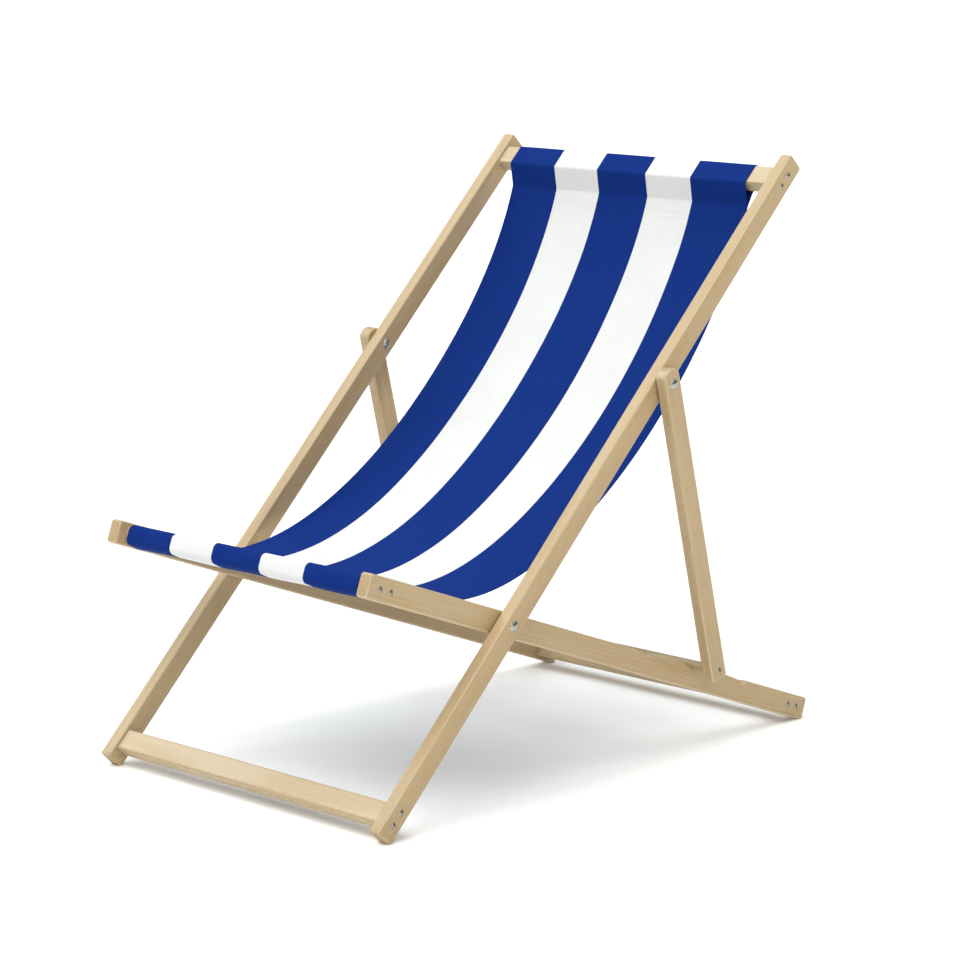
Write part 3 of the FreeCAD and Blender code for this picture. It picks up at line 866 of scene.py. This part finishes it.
# %% [markdown]
# ## Canvas with woven stripes
#
# The stripes are woven, not printed, so they run the full length of the cloth with
# crisp edges, and both faces show them. Their edges are set across the chair. The
# weave itself is two sets of threads that pass over and under each other: one wave
# along the cloth and one across it, multiplied, gives that basket of tiny bumps.
# Each thread takes the dye a little differently, which long thin noise imitates.

# %% Canvas recipe
STRIPE_EDGES = (-134 * MM, -54 * MM, 35 * MM, 115 * MM)
CANVAS_BLUE = paint(12, 43, 115)
CANVAS_WHITE = paint(216, 216, 214)
THREAD = 0.9 * MM
STRIPE_BLUR = 0.15 * MM
STRIPE_SHAKE = 0.5 * MM     # each weft thread changes colour at its own place
STREAK = 0.03               # how squeezed a thread's own tint is along the thread


def stripe_share(tree, across):
    """1 in the white stripes and 0 in the blue ones."""
    total = None
    for number, edge in enumerate(STRIPE_EDGES):
        side = fade(tree, across, edge - STRIPE_BLUR, edge + STRIPE_BLUR)
        if number % 2:
            total = math_node(tree, "SUBTRACT", total, side)
        else:
            total = side if total is None else math_node(tree, "ADD", total, side)
    return total


def thread_wave(tree, distance):
    """A wave that goes up and down once in two threads."""
    return math_node(tree, "SINE", math_node(tree, "MULTIPLY", distance, math.pi / THREAD))


def canvas(name):
    """Woven stripes, by places on the flat cloth."""
    material, tree, shader = new_material(name)
    flat_cloth = add(tree, "TexCoord").outputs["UV"]
    parts = add(tree, "SeparateXYZ", {"Vector": flat_cloth})
    across, along = parts.outputs["X"], parts.outputs["Y"]
    warp = speckle(tree, squeezed(tree, flat_cloth, (1.0, STREAK, 1.0)), 1100, detail=1.0)
    weft = speckle(tree, squeezed(tree, flat_cloth, (STREAK, 1.0, 1.0)), 1100, detail=1.0)
    cloud = speckle(tree, flat_cloth, 9.0, detail=3.0)

    shaken = math_node(tree, "SUBTRACT", across, STRIPE_SHAKE / 2)
    shaken = math_node(tree, "MULTIPLY_ADD", weft, STRIPE_SHAKE, shaken)
    colour = mix_colour(tree, stripe_share(tree, shaken), CANVAS_BLUE, CANVAS_WHITE)
    basket = math_node(tree, "MULTIPLY", thread_wave(tree, across), thread_wave(tree, along))
    dye = math_node(tree, "MULTIPLY_ADD", warp, 0.16, math_node(tree, "MULTIPLY", weft, 0.12))
    dye = math_node(tree, "MULTIPLY_ADD", cloud, 0.12, dye)
    dye = math_node(tree, "MULTIPLY_ADD", basket, 0.05, dye)
    level = math_node(tree, "ADD", dye, 0.79)
    grey = add(tree, "CombineColor", {0: level, 1: level, 2: level}).outputs[0]
    colour = mix_colour(tree, 1.0, colour, grey, "MULTIPLY")
    tree.links.new(colour, shader.inputs["Base Color"])

    rough = math_node(tree, "MULTIPLY_ADD", warp, 0.14, 0.76)
    tree.links.new(rough, shader.inputs["Roughness"])
    shader.inputs["Specular IOR Level"].default_value = 0.06
    relief = math_node(tree, "MULTIPLY_ADD", warp, 0.4, basket)
    add_bump(tree, shader, relief, 0.4, 0.12 * MM)
    return material


sling_cloth.data.materials.append(canvas("striped_canvas"))
print("stripes:", len(STRIPE_EDGES) + 1)

# %% [markdown]
# ## Stitching
#
# Two rows of stitches hold each sleeve, and one row runs down each hem. Stitches
# could be painted on as a dashed line, but up close they are little loops of
# thread that press into the cloth. Each is a short rounded grain of thread, a bit
# sunk, and all of them are one mesh. The thread is dyed like the cloth it sits on.

# %% Stitch rows
STITCH_LONG = 3.2 * MM
STITCH_PITCH = 4.0 * MM
STITCH_THICK = 0.7 * MM
STITCH_SIDES = 6
STITCH_RINGS = ((-0.38, 0.62), (-0.18, 1.0), (0.18, 1.0), (0.38, 0.62))    # share of length, width
STITCH_FLAT = 0.8
TIP_SUNK = 0.3 * STITCH_THICK
SEAM_ROWS = (4 * MM, 12 * MM)
ROW_FROM_EDGE = 4 * MM
ROW_FROM_SEAM = 2 * MM
directions = headings(line)


def on_cloth(across, along, above):
    """The place, travel and outward direction on the cloth's outer or under face."""
    i = 1
    while i < len(lengths) - 1 and lengths[i] < along:
        i += 1
    share = (along - lengths[i - 1]) / (lengths[i] - lengths[i - 1])
    direction = directions[i - 1].lerp(directions[i], share).normalized()
    outward = -under(direction)
    thick = CLOTH_THICK / 2
    if not above and (across < CLOTH_LEFT + HEM or across > CLOTH_RIGHT - HEM):
        thick += HEM_THICK
    height = (thick if above else -thick) + wave(across, along)
    place = line[i - 1].lerp(line[i], share) + outward * height + ACROSS * across
    return place, direction, outward if above else -outward


def grain_of_thread(verts, faces, middle, lengthways, outward):
    """One stitch: a pointed oval, four rings and two tips."""
    side = lengthways.cross(outward).normalized()
    first = len(verts)
    verts.append(middle - lengthways * STITCH_LONG / 2 - outward * TIP_SUNK)
    for share, width in STITCH_RINGS:
        radius = STITCH_THICK / 2 * width
        for k in range(STITCH_SIDES):
            turn = 2 * math.pi * k / STITCH_SIDES
            spoke = side * math.cos(turn) + outward * math.sin(turn) * STITCH_FLAT
            verts.append(middle + lengthways * STITCH_LONG * share + spoke * radius)
    verts.append(middle + lengthways * STITCH_LONG / 2 - outward * TIP_SUNK)
    last = len(verts) - 1
    ring_starts = range(first + 1, last, STITCH_SIDES)
    for k in range(STITCH_SIDES):
        n = (k + 1) % STITCH_SIDES
        faces.append((first, ring_starts[0] + n, ring_starts[0] + k))
        for a, b in zip(ring_starts, ring_starts[1:]):
            faces.append((a + k, a + n, b + n, b + k))
        faces.append((last, ring_starts[-1] + k, ring_starts[-1] + n))


def row_across(verts, faces, along, above):
    """A row of stitches from edge to edge."""
    across = CLOTH_LEFT + ROW_FROM_EDGE
    while across < CLOTH_RIGHT - ROW_FROM_EDGE:
        place, _, outward = on_cloth(across, along, above)
        grain_of_thread(verts, faces, place, ACROSS, outward)
        across += STITCH_PITCH


def row_along(verts, faces, across, above):
    """A row of stitches from seam to seam."""
    along = PANEL_START + ROW_FROM_SEAM
    while along < PANEL_END - ROW_FROM_SEAM:
        place, direction, outward = on_cloth(across, along, above)
        grain_of_thread(verts, faces, place, direction, outward)
        along += STITCH_PITCH


def stitches_mesh():
    """Every stitch of the sling as one mesh."""
    verts, faces = [], []
    front_row = PANEL_END - (1 - FRONT_SEAM_SHARE) * sag_length
    for step in SEAM_ROWS:
        row_across(verts, faces, PANEL_START + step, True)
        row_across(verts, faces, TAIL - step, True)
        row_across(verts, faces, front_row - step, True)
        row_across(verts, faces, CLOTH_LONG - TAIL + step, True)
    for across in (CLOTH_LEFT + HEM, CLOTH_RIGHT - HEM):
        for above in (True, False):
            row_along(verts, faces, across, above)
    return mesh_of_cloth("sling_stitches", verts, faces, [spot.xy for spot in verts])


sling_stitches = bpy.data.objects.new("sling_stitches", stitches_mesh())
bpy.context.scene.collection.objects.link(sling_stitches)
sling_stitches.data.materials.append(canvas("dyed_thread"))
print("stitch faces:", len(sling_stitches.data.polygons))

# %% [markdown]
# ## Setting the sling in place
#
# On the real chair the upper sleeve stays with the back frame when it folds, and the
# lower one goes with the seat frame. Here the cloth and its stitches keep the shape
# they were drawn in, and the frame's own plain sling is hidden so only the new cloth shows.

# %% Fix the sling's shape and hide the frame's plain sling
for piece in (sling_cloth, sling_stitches):
    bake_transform(piece)
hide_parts("sling")
